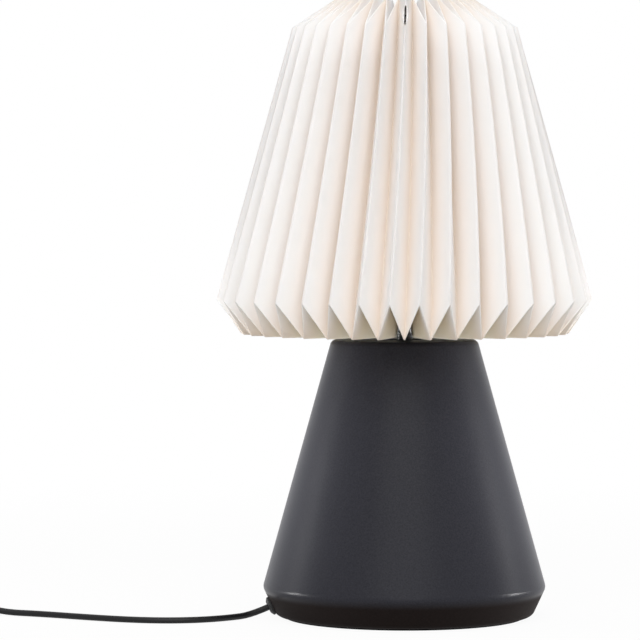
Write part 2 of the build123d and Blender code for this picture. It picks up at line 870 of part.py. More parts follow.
# Plug: a flat body that narrows to a ribbed relief, with two round pins
plug_back = plug_cord_end + plug_relief_length
plug_front = plug_back + plug_length
plug_outline = Polyline(
    (plug_back, -plug_tail_width / 2),
    (plug_back + plug_tail_length, -plug_width / 2),
    (plug_front - plug_nose_length, -plug_width / 2),
    (plug_front, -plug_nose_width / 2),
    (plug_front, plug_nose_width / 2),
    (plug_front - plug_nose_length, plug_width / 2),
    (plug_back + plug_tail_length, plug_width / 2),
    (plug_back, plug_tail_width / 2),
    close=True,
)
plug_core = Pos(0, plug_axis_y, plug_z) * extrude(make_face(plug_outline), plug_thickness / 2, both=True)
plug_core = fillet(plug_core.edges().filter_by(Axis.Z), plug_corner)
plug_flats = plug_core.faces().sort_by(Axis.Z)
plug_core = fillet(plug_flats[-1].edges() + plug_flats[0].edges(), plug_edge)
relief_plane = Plane(origin=(plug_cord_end, plug_axis_y, plug_z), z_dir=(1, 0, 0))
relief_mouth = cord_radius + plug_relief_wall
relief_root = plug_tail_width / 2 - plug_edge
relief_taper = (relief_root - relief_mouth) / plug_relief_length
relief_outline = [
    (0, 0),
    (relief_mouth, 0),
    (relief_root, plug_relief_length),
    (relief_root, plug_relief_length + plug_edge),
    (0, plug_relief_length + plug_edge),
]
plug_body = plug_core + relief_plane * turned(relief_outline, [(1, relief_rib_depth)])
relief_pitch = plug_relief_length / (relief_ribs + 1)
for rib in range(1, relief_ribs + 1):
    groove_at = rib * relief_pitch
    groove_floor = relief_mouth + groove_at * relief_taper - relief_rib_depth
    groove = ring(relief_root + plug_edge, groove_floor, groove_at - relief_rib_gap / 2, relief_rib_gap)
    plug_body = plug_body - relief_plane * groove
pin_places = [
    Plane(origin=(plug_front, plug_axis_y + offset, plug_z), z_dir=(1, 0, 0))
    for offset in (-pin_spacing / 2, pin_spacing / 2)
]
pin_outline = [
    (0, -pin_root),
    (pin_root_radius, -pin_root),
    (pin_root_radius, 0),
    (pin_radius, 0),
    (pin_radius, pin_length),
    (0, pin_length),
]
plug_pins = []
for place in pin_places:
    plug_body = plug_body - place * Pos(0, 0, -pin_root / 2) * Cylinder(pin_root_radius, pin_root)
    plug_pins.append(place * turned(pin_outline, [(4, pin_tip_rounding)]))
save("plug_body", plug_body)
save("plug_pins", Compound(children=plug_pins))

# Cord switch: two shells on the cord, screwed together, with a rocker in the top one
switch_middle = Pos(switch_centre[0], switch_centre[1], 0)
seam_z = switch_height / 2
pivot = Pos(0, 0, rocker_pivot_height)
across_y = Rot(90, 0, 0)
switch_block = Pos(0, 0, cord_lift) * extrude(
    RectangleRounded(switch_length, switch_width, switch_corner), switch_height - cord_lift
)
switch_ends = switch_block.faces().sort_by(Axis.Z)
switch_block = fillet(switch_ends[0].edges() + switch_ends[-1].edges(), switch_edge)
switch_hollow = Pos(0, 0, cord_lift + switch_wall) * extrude(
    RectangleRounded(
        switch_length - 2 * switch_wall, switch_width - 2 * switch_wall, switch_corner - switch_wall
    ),
    switch_height - cord_lift - 2 * switch_wall,
)
cord_way_radius = cord_radius + switch_cord_clearance
cord_way = Pos(0, 0, seam_z) * Rot(0, 90, 0) * Cylinder(cord_way_radius, 2 * switch_length)
switch_case = switch_block - switch_hollow

screw_x, screw_y = switch_screw_place
screw_places = [(screw_x, screw_y), (-screw_x, -screw_y)]
head_seat = cord_lift + screw_head_depth
screw_top = switch_height - switch_wall - screw_end_gap
bosses = [
    Pos(x, y, cord_lift + switch_wall / 2)
    * Cylinder(
        screw_boss_radius,
        switch_height - cord_lift - switch_wall,
        align=(Align.CENTER, Align.CENTER, Align.MIN),
    )
    for x, y in screw_places
]
ear_inner = rocker_width / 2 + rocker_clearance
ear_bottom = seam_z + ear_seam_gap
ear_height = switch_height - switch_wall / 2 - ear_bottom
ears = [
    Pos(0, side * (ear_inner + ear_thickness / 2), ear_bottom)
    * Box(ear_length, ear_thickness, ear_height, align=(Align.CENTER, Align.CENTER, Align.MIN))
    for side in (-1, 1)
]
pin_length_inside = rocker_width + 2 * (rocker_clearance + ear_thickness)
pin_way_radius = rocker_pin_radius + rocker_pin_clearance
pin_way = pivot * across_y * Cylinder(pin_way_radius, pin_length_inside + rocker_clearance)
rocker_way = pivot * across_y * Cylinder(rocker_radius + rocker_clearance, 2 * ear_inner)

switch_screws = []
for x, y in screw_places:
    head = Pos(x, y, 0) * rod(screw_head_radius, head_seat - screw_head_height, screw_head_height)
    switch_screws.append(head + Pos(x, y, 0) * rod(switch_screw_radius, head_seat, screw_top - head_seat))
screw_ways = [Pos(x, y, 0) * rod(switch_screw_radius, 0, screw_top) for x, y in screw_places]
head_way_radius = screw_head_radius + screw_head_clearance
head_ways = [Pos(x, y, 0) * rod(head_way_radius, 0, head_seat) for x, y in screw_places]

switch_case = switch_case + bosses
switch_case = switch_case - cord_way - screw_ways - head_ways
seam = Plane.XY.offset(seam_z)
switch_bottom = split(switch_case, seam, keep=Keep.BOTTOM)
switch_top = split(switch_case, seam, keep=Keep.TOP) + ears
switch_top = switch_top - rocker_way - pin_way

rocker_outline = Polyline(
    (-rocker_radius, rocker_end_rise),
    (0, rocker_end_rise - rocker_dip),
    (rocker_radius, rocker_end_rise),
    (rocker_radius, -rocker_pin_radius / 2),
    (rocker_keel, -rocker_keel),
    (-rocker_keel, -rocker_keel),
    (-rocker_radius, -rocker_pin_radius / 2),
    close=True,
)
rocker_face = make_face(rocker_outline) & Circle(rocker_radius)
rocker_block = across_y * extrude(rocker_face, rocker_width / 2, both=True)
rocker_block = rocker_block + across_y * Cylinder(rocker_pin_radius, pin_length_inside)
switch_rocker = pivot * Rot(0, -rocker_tilt, 0) * rocker_block

save("switch_bottom", switch_middle * switch_bottom)
save("switch_top", switch_middle * switch_top)
save("switch_screws", switch_middle * Compound(children=switch_screws))
save("switch_rocker", switch_middle * switch_rocker)
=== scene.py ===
import json
import math
import random

import bmesh
import bpy
from mathutils import Matrix, Vector


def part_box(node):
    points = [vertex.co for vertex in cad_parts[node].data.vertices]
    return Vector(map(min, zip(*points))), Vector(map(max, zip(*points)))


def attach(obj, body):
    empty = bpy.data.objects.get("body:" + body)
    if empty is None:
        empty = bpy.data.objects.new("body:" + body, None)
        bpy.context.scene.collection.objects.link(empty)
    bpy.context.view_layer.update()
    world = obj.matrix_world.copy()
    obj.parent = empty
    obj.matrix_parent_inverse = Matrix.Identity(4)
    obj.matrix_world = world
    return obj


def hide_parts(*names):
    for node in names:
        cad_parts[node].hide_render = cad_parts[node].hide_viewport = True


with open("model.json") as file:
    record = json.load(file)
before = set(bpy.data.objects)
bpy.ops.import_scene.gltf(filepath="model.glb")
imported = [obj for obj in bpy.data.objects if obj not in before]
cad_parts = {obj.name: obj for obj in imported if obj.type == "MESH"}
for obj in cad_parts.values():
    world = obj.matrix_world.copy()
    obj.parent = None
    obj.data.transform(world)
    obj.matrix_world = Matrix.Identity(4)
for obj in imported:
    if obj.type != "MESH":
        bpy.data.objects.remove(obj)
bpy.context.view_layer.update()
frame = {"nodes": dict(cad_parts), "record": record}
nodes = frame["nodes"]
print("frame loaded:", len(nodes), "pieces")


# Small helpers for meshes

def meshPiece(name, bm):
    mesh = bpy.data.meshes.new(name)
    bm.to_mesh(mesh)
    bm.free()
    mesh.shade_smooth()
    piece = bpy.data.objects.new(name, mesh)
    bpy.context.scene.collection.objects.link(piece)
    return piece


def everything(bm):
    return bm.verts[:] + bm.edges[:] + bm.faces[:]


def putOn(piece, body, slot, *replaced):
    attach(piece, body)
    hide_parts(*replaced)
    piece.data.materials.append(finishes[slot])


# Shared shader groups

def addNode(tree, kind, **values):
    node = tree.nodes.new(kind)
    for label, value in values.items():
        node.inputs[label].default_value = value
    return node


def colourMix(tree):
    mix = tree.nodes.new("ShaderNodeMix")
    mix.data_type = "RGBA"
    return mix


def mathNode(tree, operation):
    node = tree.nodes.new("ShaderNodeMath")
    node.operation = operation
    return node


def attributeNode(tree, name):
    node = tree.nodes.new("ShaderNodeAttribute")
    node.attribute_name = name
    return node


def newGroup(name, inputs, outputs):
    tree = bpy.data.node_groups.new(name, "ShaderNodeTree")
    for label, kind, value in inputs:
        socket = tree.interface.new_socket(label, in_out="INPUT", socket_type=kind)
        socket.default_value = value
    for label, kind in outputs:
        tree.interface.new_socket(label, in_out="OUTPUT", socket_type=kind)
    return tree, tree.nodes.new("NodeGroupInput"), tree.nodes.new("NodeGroupOutput")


grainNoise = {
    "fine": {"Detail": 3.0, "Roughness": 0.6},
    "broad": {"Scale": 28.0, "Detail": 2.0, "Roughness": 0.5},
}


def grainGroup(noise):
    # fine and coarse grain of a moulded, glazed or coated surface
    tree, given, result = newGroup(
        "surfaceGrain",
        [
            ("Scale", "NodeSocketFloat", 900.0),
            ("Depth", "NodeSocketFloat", 0.1),
            ("Reach", "NodeSocketFloat", 0.0002),
        ],
        [
            ("Mask", "NodeSocketFloat"),
            ("Drift", "NodeSocketFloat"),
            ("Normal", "NodeSocketVector"),
        ],
    )
    place = tree.nodes.new("ShaderNodeTexCoord")
    fine = addNode(tree, "ShaderNodeTexNoise", **noise["fine"])
    broad = addNode(tree, "ShaderNodeTexNoise", **noise["broad"])
    bump = tree.nodes.new("ShaderNodeBump")
    link = tree.links.new
    link(place.outputs["Object"], fine.inputs["Vector"])
    link(place.outputs["Object"], broad.inputs["Vector"])
    link(given.outputs["Scale"], fine.inputs["Scale"])
    link(given.outputs["Depth"], bump.inputs["Strength"])
    link(given.outputs["Reach"], bump.inputs["Distance"])
    link(fine.outputs["Fac"], bump.inputs["Height"])
    link(fine.outputs["Fac"], result.inputs["Mask"])
    link(broad.outputs["Fac"], result.inputs["Drift"])
    link(bump.outputs["Normal"], result.inputs["Normal"])
    return tree


def tintGroup():
    # a colour that goes from one tint to another by a mask
    tree, given, result = newGroup(
        "tintDrift",
        [
            ("Dark", "NodeSocketColor", (0.1, 0.1, 0.1, 1.0)),
            ("Light", "NodeSocketColor", (0.2, 0.2, 0.2, 1.0)),
            ("Mask", "NodeSocketFloat", 0.5),
            ("Low", "NodeSocketFloat", 0.3),
            ("High", "NodeSocketFloat", 0.7),
        ],
        [("Color", "NodeSocketColor")],
    )
    spread = tree.nodes.new("ShaderNodeMapRange")
    mix = colourMix(tree)
    link = tree.links.new
    link(given.outputs["Mask"], spread.inputs["Value"])
    link(given.outputs["Low"], spread.inputs["From Min"])
    link(given.outputs["High"], spread.inputs["From Max"])
    link(spread.outputs["Result"], mix.inputs["Factor"])
    link(given.outputs["Dark"], mix.inputs["A"])
    link(given.outputs["Light"], mix.inputs["B"])
    link(mix.outputs["Result"], result.inputs["Color"])
    return tree


grain = grainGroup(grainNoise)
tint = tintGroup()


def placeGroup(tree, group, **values):
    node = tree.nodes.new("ShaderNodeGroup")
    node.node_tree = group
    for label, value in values.items():
        node.inputs[label].default_value = value
    return node


# Finishes, one for each slot of the record

def startFinish(name):
    material = bpy.data.materials.new(name)
    material.use_nodes = True
    return material, material.node_tree, material.node_tree.nodes["Principled BSDF"]


def opaque(colour):
    return (*colour, 1.0)


def surfaceOf(tree, look):
    return placeGroup(tree, grain, Scale=look["scale"], Depth=look["depth"], Reach=look["reach"])


def tintOf(tree, dark, light, **limits):
    return placeGroup(tree, tint, Dark=opaque(dark), Light=opaque(light), **limits)


def glossOf(tree, look):
    low, high = look["rough"]
    return addNode(tree, "ShaderNodeMapRange", **{"To Min": low, "To Max": high})


def grainedFinish(name, look):
    # a solid finish whose colour, gloss and surface all vary a little
    material, tree, shader = startFinish(name)
    link = tree.links.new
    surface = surfaceOf(tree, look)
    colour = tintOf(tree, look["dark"], look["light"])
    gloss = glossOf(tree, look)
    link(surface.outputs["Mask"], colour.inputs["Mask"])
    link(surface.outputs["Drift"], gloss.inputs["Value"])
    link(colour.outputs["Color"], shader.inputs["Base Color"])
    link(gloss.outputs["Result"], shader.inputs["Roughness"])
    link(surface.outputs["Normal"], shader.inputs["Normal"])
    shader.inputs["Metallic"].default_value = look.get("metal", 0.0)
    shader.inputs["Specular IOR Level"].default_value = look.get("specular", 0.5)
    return material


plainLooks = {
    "felt_black": {
        "dark": (0.006, 0.006, 0.007), "light": (0.03, 0.03, 0.032), "rough": (0.9, 1.0),
        "scale": 2600.0, "depth": 0.9, "reach": 0.0006, "specular": 0.2,
    },
    "board_black": {
        "dark": (0.010, 0.009, 0.008), "light": (0.022, 0.020, 0.018), "rough": (0.6, 0.75),
        "scale": 700.0, "depth": 0.25, "reach": 0.0004, "specular": 0.3,
    },
    "tube_black": {
        "dark": (0.010, 0.010, 0.011), "light": (0.020, 0.020, 0.021), "rough": (0.3, 0.42),
        "scale": 1500.0, "depth": 0.08, "reach": 0.0001,
    },
    "zinc_steel": {
        "dark": (0.40, 0.41, 0.43), "light": (0.58, 0.59, 0.60), "rough": (0.28, 0.42),
        "scale": 900.0, "depth": 0.12, "reach": 0.0001, "metal": 1.0,
    },
    "holder_black": {
        "dark": (0.010, 0.010, 0.011), "light": (0.018, 0.018, 0.019), "rough": (0.34, 0.46),
        "scale": 2200.0, "depth": 0.2, "reach": 0.0001,
    },
    "holder_core_white": {
        "dark": (0.70, 0.68, 0.64), "light": (0.78, 0.77, 0.74), "rough": (0.3, 0.45),
        "scale": 600.0, "depth": 0.1, "reach": 0.0002,
    },
    "contact_brass": {
        "dark": (0.52, 0.36, 0.13), "light": (0.68, 0.50, 0.22), "rough": (0.25, 0.4),
        "scale": 1000.0, "depth": 0.1, "reach": 0.0001, "metal": 1.0,
    },
    "carrier_white": {
        "dark": (0.72, 0.71, 0.69), "light": (0.80, 0.79, 0.78), "rough": (0.38, 0.5),
        "scale": 1400.0, "depth": 0.15, "reach": 0.0001,
    },
    "bulb_white": {
        "dark": (0.74, 0.74, 0.73), "light": (0.82, 0.82, 0.81), "rough": (0.4, 0.5),
        "scale": 2000.0, "depth": 0.12, "reach": 0.0001,
    },
    "bulb_nickel": {
        "dark": (0.52, 0.51, 0.49), "light": (0.68, 0.67, 0.65), "rough": (0.22, 0.34),
        "scale": 900.0, "depth": 0.1, "reach": 0.0001, "metal": 1.0,
    },
    "insulator_black": {
        "dark": (0.006, 0.006, 0.006), "light": (0.014, 0.013, 0.013), "rough": (0.12, 0.2),
        "scale": 700.0, "depth": 0.05, "reach": 0.0001,
    },
    "grommet_black": {
        "dark": (0.006, 0.006, 0.007), "light": (0.012, 0.012, 0.013), "rough": (0.5, 0.6),
        "scale": 1800.0, "depth": 0.2, "reach": 0.0001, "specular": 0.35,
    },
    "fitting_black": {
        "dark": (0.009, 0.009, 0.010), "light": (0.017, 0.017, 0.018), "rough": (0.36, 0.5),
        "scale": 2400.0, "depth": 0.25, "reach": 0.0001,
    },
    "rocker_black": {
        "dark": (0.010, 0.010, 0.011), "light": (0.016, 0.016, 0.017), "rough": (0.22, 0.3),
        "scale": 2400.0, "depth": 0.1, "reach": 0.0001,
    },
}

ceramicLook = {
    "dark": (0.0205, 0.0208, 0.0268), "light": (0.0308, 0.0313, 0.0392),
    # the band colours are painted shade for the undercut band at the foot, which faces down
    "bandShadeDark": (0.007, 0.0046, 0.0043), "bandShadeLight": (0.012, 0.0083, 0.0076),
    "bandFoot": 0.0125, "bandEdge": 0.0185, "bandRough": 0.75, "rough": (0.28, 0.36),
    "scale": 1100.0, "depth": 0.22, "reach": 0.0002, "specular": 0.085,
}


def ceramicFinish(name, look):
    # slip with a fine speckle, more matte on the undercut band at the foot, whose colour is darkened
    # there as painted shade for the band that faces down
    material, tree, shader = startFinish(name)
    link = tree.links.new
    surface = surfaceOf(tree, look)
    cone = tintOf(tree, look["dark"], look["light"])
    # painted shade: the undercut band is coloured darker than the cone above it
    band = tintOf(tree, look["bandShadeDark"], look["bandShadeLight"])
    gloss = glossOf(tree, look)
    place = tree.nodes.new("ShaderNodeTexCoord")
    split = tree.nodes.new("ShaderNodeSeparateXYZ")
    rise = addNode(tree, "ShaderNodeMapRange", **{
        "From Min": look["bandFoot"], "From Max": look["bandEdge"],
    })
    rise.interpolation_type = "SMOOTHSTEP"
    matte = addNode(tree, "ShaderNodeMapRange", **{"To Min": look["bandRough"], "To Max": 0.0})
    rougher = mathNode(tree, "MAXIMUM")
    mix = colourMix(tree)
    link(surface.outputs["Mask"], cone.inputs["Mask"])
    link(surface.outputs["Mask"], band.inputs["Mask"])
    link(surface.outputs["Drift"], gloss.inputs["Value"])
    link(place.outputs["Object"], split.inputs["Vector"])
    link(split.outputs["Z"], rise.inputs["Value"])
    link(rise.outputs["Result"], mix.inputs["Factor"])
    link(band.outputs["Color"], mix.inputs["A"])
    link(cone.outputs["Color"], mix.inputs["B"])
    link(mix.outputs["Result"], shader.inputs["Base Color"])
    link(rise.outputs["Result"], matte.inputs["Value"])
    link(gloss.outputs["Result"], rougher.inputs[0])
    link(matte.outputs["Result"], rougher.inputs[1])
    link(rougher.outputs[0], shader.inputs["Roughness"])
    link(surface.outputs["Normal"], shader.inputs["Normal"])
    shader.inputs["Specular IOR Level"].default_value = look["specular"]
    return material


paperLook = {
    # ridge is the paper's own colour; valley, inside and creaseTone are painted shade
    "valley": (0.81, 0.725, 0.645), "ridge": (0.965, 0.93, 0.92), "inside": (0.98, 0.87, 0.72),
    "foldCurve": 1.8, "insideReach": 0.25, "creaseReach": 0.07, "creaseTone": 0.84,
    "scale": 1700.0, "depth": 0.10, "reach": 0.0001, "rough": (0.7, 0.8), "specular": 0.25,
    "scatter": 1.0, "scatterReach": (0.0003, 0.00029, 0.00028),
}


def paperFinish(name, look):
    # off-white folded paper; its colour carries painted shade: warmer and darker towards the valleys,
    # darkened along the ridges and the neck edge against their highlight, and a warm shaded tone over
    # the turned-in rim
    material, tree, shader = startFinish(name)
    link = tree.links.new
    surface = surfaceOf(tree, look)
    # painted shade: the colour turns warmer and darker towards the valleys
    colour = tintOf(tree, look["ridge"], look["valley"], Low=0.0, High=1.0)
    gloss = glossOf(tree, look)
    fold = attributeNode(tree, "fold")
    inner = attributeNode(tree, "inner")
    curve = mathNode(tree, "POWER")
    curve.inputs[1].default_value = look["foldCurve"]
    # painted shade: the colour is darkened along the ridges and the neck edge, against their
    # highlight
    crease = addNode(tree, "ShaderNodeMapRange", **{
        "From Max": look["creaseReach"], "To Min": look["creaseTone"],
    })
    creaseShaded = tree.nodes.new("ShaderNodeVectorMath")
    creaseShaded.operation = "SCALE"
    # painted shade: a warm, darker tone over the turned-in rim
    rimShade = addNode(tree, "ShaderNodeMapRange", **{"From Max": look["insideReach"]})
    mix = colourMix(tree)
    mix.inputs["B"].default_value = opaque(look["inside"])
    link(fold.outputs["Fac"], curve.inputs[0])
    link(curve.outputs[0], colour.inputs["Mask"])
    link(inner.outputs["Fac"], rimShade.inputs["Value"])
    link(rimShade.outputs["Result"], mix.inputs["Factor"])
    link(fold.outputs["Fac"], crease.inputs["Value"])
    link(colour.outputs["Color"], creaseShaded.inputs[0])
    link(crease.outputs["Result"], creaseShaded.inputs["Scale"])
    link(creaseShaded.outputs["Vector"], mix.inputs["A"])
    link(surface.outputs["Drift"], gloss.inputs["Value"])
    link(mix.outputs["Result"], shader.inputs["Base Color"])
    link(gloss.outputs["Result"], shader.inputs["Roughness"])
    link(surface.outputs["Normal"], shader.inputs["Normal"])
    shader.inputs["Specular IOR Level"].default_value = look["specular"]
    shader.inputs["Subsurface Weight"].default_value = look["scatter"]
    shader.inputs["Subsurface Radius"].default_value = look["scatterReach"]
    shader.inputs["Subsurface Scale"].default_value = 1.0
    return material


opalLook = {
    "dark": (0.80, 0.79, 0.77), "light": (0.86, 0.855, 0.84), "rough": (0.25, 0.35),
    "scale": 1200.0, "depth": 0.04, "reach": 0.0001,
    "scatter": 0.2, "scatterReach": (0.004, 0.003, 0.002),
}


def opalFinish(name, look):
    # milky globe that lets a little light into its wall
    material, tree, shader = startFinish(name)
    link = tree.links.new
    surface = surfaceOf(tree, look)
    colour = tintOf(tree, look["dark"], look["light"])
    gloss = glossOf(tree, look)
    link(surface.outputs["Drift"], colour.inputs["Mask"])
    link(surface.outputs["Drift"], gloss.inputs["Value"])
    link(colour.outputs["Color"], shader.inputs["Base Color"])
    link(gloss.outputs["Result"], shader.inputs["Roughness"])
    link(surface.outputs["Normal"], shader.inputs["Normal"])
    shader.inputs["Subsurface Weight"].default_value = look["scatter"]
    shader.inputs["Subsurface Radius"].default_value = look["scatterReach"]
    shader.inputs["Subsurface Scale"].default_value = 1.0
    return material


strandLooks = {
    # the gathering cord's dark colour goes on every other ply, painted shade for the gaps between its
    # light strands
    "gather_cord_grey": {
        "dark": (0.012, 0.011, 0.010), "light": (0.85, 0.80, 0.73), "rough": 0.85, "mask": "ply",
        "scale": 2600.0, "depth": 0.8, "reach": 0.0003, "sheen": 0.15,
    },
    "tie_black": {
        "dark": (0.006, 0.006, 0.007), "light": (0.024, 0.024, 0.026), "rough": 0.8,
        "scale": 1900.0, "depth": 0.8, "reach": 0.0003, "sheen": 0.15,
    },
}


def strandFinish(name, look):
    # fuzzy yarn whose alternate plies are drawn near black as painted shade for the gaps between
    # strands, or loop fabric
    material, tree, shader = startFinish(name)
    link = tree.links.new
    surface = surfaceOf(tree, look)
    colour = tintOf(tree, look["dark"], look["light"])
    # painted shade: every other ply takes the dark colour
    if "mask" in look:
        ply = attributeNode(tree, look["mask"])
        link(ply.outputs["Fac"], colour.inputs["Mask"])
    else:
        link(surface.outputs["Mask"], colour.inputs["Mask"])
    link(colour.outputs["Color"], shader.inputs["Base Color"])
    link(surface.outputs["Normal"], shader.inputs["Normal"])
    shader.inputs["Roughness"].default_value = look["rough"]
    shader.inputs["Sheen Weight"].default_value = look["sheen"]
    return material


sheathLook = {
    "dark": (0.005, 0.005, 0.006), "light": (0.009, 0.009, 0.010), "rough": (0.34, 0.48),
    "scale": 1500.0, "depth": 0.15, "reach": 0.0002, "specular": 0.25,
}

finishes = {slot: grainedFinish(slot, look) for slot, look in plainLooks.items()}
finishes.update({slot: strandFinish(slot, look) for slot, look in strandLooks.items()})
finishes["ceramic_grey"] = ceramicFinish("ceramic_grey", ceramicLook)
finishes["shade_paper"] = paperFinish("shade_paper", paperLook)
finishes["bulb_opal"] = opalFinish("bulb_opal", opalLook)
finishes["cord_black"] = grainedFinish("cord_black", sheathLook)

for part in frame["record"]["subparts"]:
    surface = nodes[part["node"]].data
    surface.materials.clear()
    surface.materials.append(finishes[part["material_slot"]])
print("finishes made:", len(finishes))


# Pleated shade: one folded sheet whose folds lean, with its seam on the front fold

shadeSheet = {
    "pleats": 35, "thickness": 0.0003, "cuts": 5, "neckRows": 2, "mergeGap": 1e-6,
    "ridge": ((0.0280, 0.3478), (0.0680, 0.3535), (0.1130, 0.1914), (0.0360, 0.1906)),
    "valley": ((0.0280, 0.3691), (0.0415, 0.3710), (0.0983, 0.1702), (0.0360, 0.1695)),
    "front": math.radians(-90.0), "lean": math.radians(5.8),
    "seamDraw": math.radians(3.8), "quarterDraw": math.radians(2.0),
    "seamRise": 0.0175, "riseShare": (0.6, 1.0, 0.0, 0.0), "seamSlope": 0.072,
    "innerDraw": math.radians(1.4), "innerReach": math.radians(12.0),
    "foldWidth": 0.0009, "foldSteps": 2, "ridgeLimit": 1e-4,
    "handTurn": math.radians(0.16), "handReach": 0.0005, "handFrom": 0.4, "seed": 11,
    "slitMiddle": 0.3584, "slitHeight": 0.0130, "slitWidth": 0.0037, "slitSlices": 6,
    "seamFront": -0.05, "seamHalf": 0.003, "slitField": 0.008,
}


def halfPleat(bm, size):
    # one facet from valley to ridge, with both ends turned in
    fold = bm.verts.layers.float.new("fold")
    neck = bm.verts.layers.float.new("neck")
    rise = bm.verts.layers.float.new("rise")
    inner = bm.verts.layers.float.new("inner")
    lines = []
    halfTurn = math.pi / size["pleats"]
    for turn, chain, depth in ((0.0, size["valley"], 1.0), (halfTurn, size["ridge"], 0.0)):
        line = []
        for row, (radius, height) in enumerate(chain):
            vert = bm.verts.new((radius * math.cos(turn), radius * math.sin(turn), height))
            vert[inner] = row == len(chain) - 1
            vert[fold] = max(depth, vert[inner]) * (row > 0)
            vert[neck] = row < size["neckRows"]
            vert[rise] = (1 - depth) * size["riseShare"][row]
            line.append(vert)
        lines.append(line)
    valley, ridge = lines
    for row in range(len(valley) - 1):
        bm.faces.new((valley[row], ridge[row], ridge[row + 1], valley[row + 1]))
    openEnds = ({valley[0], ridge[0]}, {valley[-1], ridge[-1]})
    for edge in bm.edges:
        edge.seam = set(edge.verts) not in openEnds


def drawPleats(bm, size):
    # the folds gather towards the front at the rim and lean by half a pleat up to the neck,
    # where the fold with the seam stands higher, and none lies quite like its neighbour
    rng = random.Random(size["seed"])
    lines = 2 * size["pleats"]
    pitch = 2 * math.pi / lines
    sway = [0.0] + [rng.uniform(-1, 1) for line in range(lines - 1)]
    swell = [0.0] + [rng.uniform(-1, 1) for line in range(lines - 1)]
    neck = bm.verts.layers.float["neck"]
    rise = bm.verts.layers.float["rise"]
    inner = bm.verts.layers.float["inner"]
    reach = size["ridge"][2][0]
    for vert in bm.verts:
        radius = math.hypot(vert.co.x, vert.co.y)
        turn = (math.atan2(vert.co.y, vert.co.x) - size["front"]) % (2 * math.pi)
        line = int(turn / pitch + 1e-4)
        share = turn / pitch - line
        near, far = line % lines, (line + 1) % lines
        outer = max(0.0, radius / reach - size["handFrom"])
        hand = sway[near] * (1 - share) + sway[far] * share
        bulge = swell[near] * (1 - share) + swell[far] * share
        fromSeam = (turn + math.pi) % (2 * math.pi) - math.pi
        gathered = size["seamDraw"] * math.sin(turn) + size["quarterDraw"] * math.sin(2 * turn)
        steps = fromSeam / size["innerReach"]
        drawn = turn - gathered * (1 - vert[neck]) + size["lean"] * vert[neck]
        drawn -= size["innerDraw"] * vert[inner] * steps * math.exp((1 - steps ** 2) / 2)
        drawn += size["handTurn"] * hand * outer + size["front"]
        radius += size["handReach"] * bulge * outer
        if abs(fromSeam + pitch) < pitch * 0.999:
            radius *= 1 - size["seamSlope"] * vert[rise]
            vert.co.z += size["seamRise"] * vert[rise]
        vert.co.x = radius * math.cos(drawn)
        vert.co.y = radius * math.sin(drawn)


def openSlit(bm, size):
    # the seam gapes a little near the top
    fold = bm.verts.layers.float["fold"]
    half = size["slitHeight"] / 2

    def inFront(vert, reach):
        return abs(vert.co.x) < reach and vert.co.y < size["seamFront"]

    def onSeam(vert):
        onRidge = vert[fold] < size["ridgeLimit"] and inFront(vert, size["seamHalf"])
        return onRidge and abs(vert.co.z - size["slitMiddle"]) < half + size["mergeGap"]

    low = size["slitMiddle"] - half
    near = [
        face for face in bm.faces
        if all(inFront(vert, size["slitField"]) for vert in face.verts)
    ]
    for step in range(size["slitSlices"] + 1):
        geom = set(near)
        for face in near:
            geom.update(face.edges, face.verts)
        height = low + size["slitHeight"] * step / size["slitSlices"]
        cut = bmesh.ops.bisect_plane(
            bm, geom=list(geom), plane_co=(0, 0, height), plane_no=(0, 0, 1),
        )
        near = [part for part in cut["geom"] if isinstance(part, bmesh.types.BMFace)]
    gap = [edge for edge in bm.edges if all(onSeam(vert) for vert in edge.verts)]
    bmesh.ops.split_edges(bm, edges=gap)
    for vert in bm.verts:
        if onSeam(vert) and vert.is_boundary:
            fromMiddle = (vert.co.z - size["slitMiddle"]) / half
            side = sum(face.calc_center_median().x - vert.co.x for face in vert.link_faces)
            gape = size["slitWidth"] / 2 * max(0.0, 1 - fromMiddle ** 2)
            vert.co.x += math.copysign(gape, side)


def pleatedShade(size):
    bm = bmesh.new()
    halfPleat(bm, size)
    bmesh.ops.subdivide_edges(bm, edges=bm.edges[:], cuts=size["cuts"], use_grid_fill=True)
    bmesh.ops.mirror(
        bm, geom=everything(bm), matrix=Matrix.Identity(4), merge_dist=size["mergeGap"], axis="Y",
    )
    whole = 2 * math.pi * (size["pleats"] - 1) / size["pleats"]
    bmesh.ops.spin(
        bm, geom=everything(bm), cent=(0, 0, 0), axis=(0, 0, 1), dvec=(0, 0, 0),
        angle=whole, steps=size["pleats"] - 1, use_duplicate=True,
    )
    bmesh.ops.remove_doubles(bm, verts=bm.verts[:], dist=size["mergeGap"])
    toFront = Matrix.Rotation(size["front"], 3, "Z")
    bmesh.ops.rotate(bm, verts=bm.verts[:], cent=(0, 0, 0), matrix=toFront)
    bmesh.ops.recalc_face_normals(bm, faces=bm.faces[:])
    drawPleats(bm, size)
    openSlit(bm, size)
    folds = [edge for edge in bm.edges if edge.seam and len(edge.link_faces) == 2]
    bmesh.ops.bevel(
        bm, geom=folds, offset=size["foldWidth"], offset_type="OFFSET",
        segments=size["foldSteps"], profile=0.5, affect="EDGES", material=-1,
    )
    piece = meshPiece("shadePaper", bm)
    sheet = piece.modifiers.new("sheet", "SOLIDIFY")
    sheet.thickness = size["thickness"]
    sheet.offset = 0.0
    putOn(piece, "shade", "shade_paper", "pleated_shade")


pleatedShade(shadeSheet)
print("shade folded")


# Gathering cord: four strands laid round the neck of the shade

gatherCord = {
    "radius": 0.0360, "height": 0.3586, "strand": 0.00066, "strands": 4, "sides": 8,
    "spacing": 1.4, "plump": 1.04, "turns": 56, "steps": 720,
}


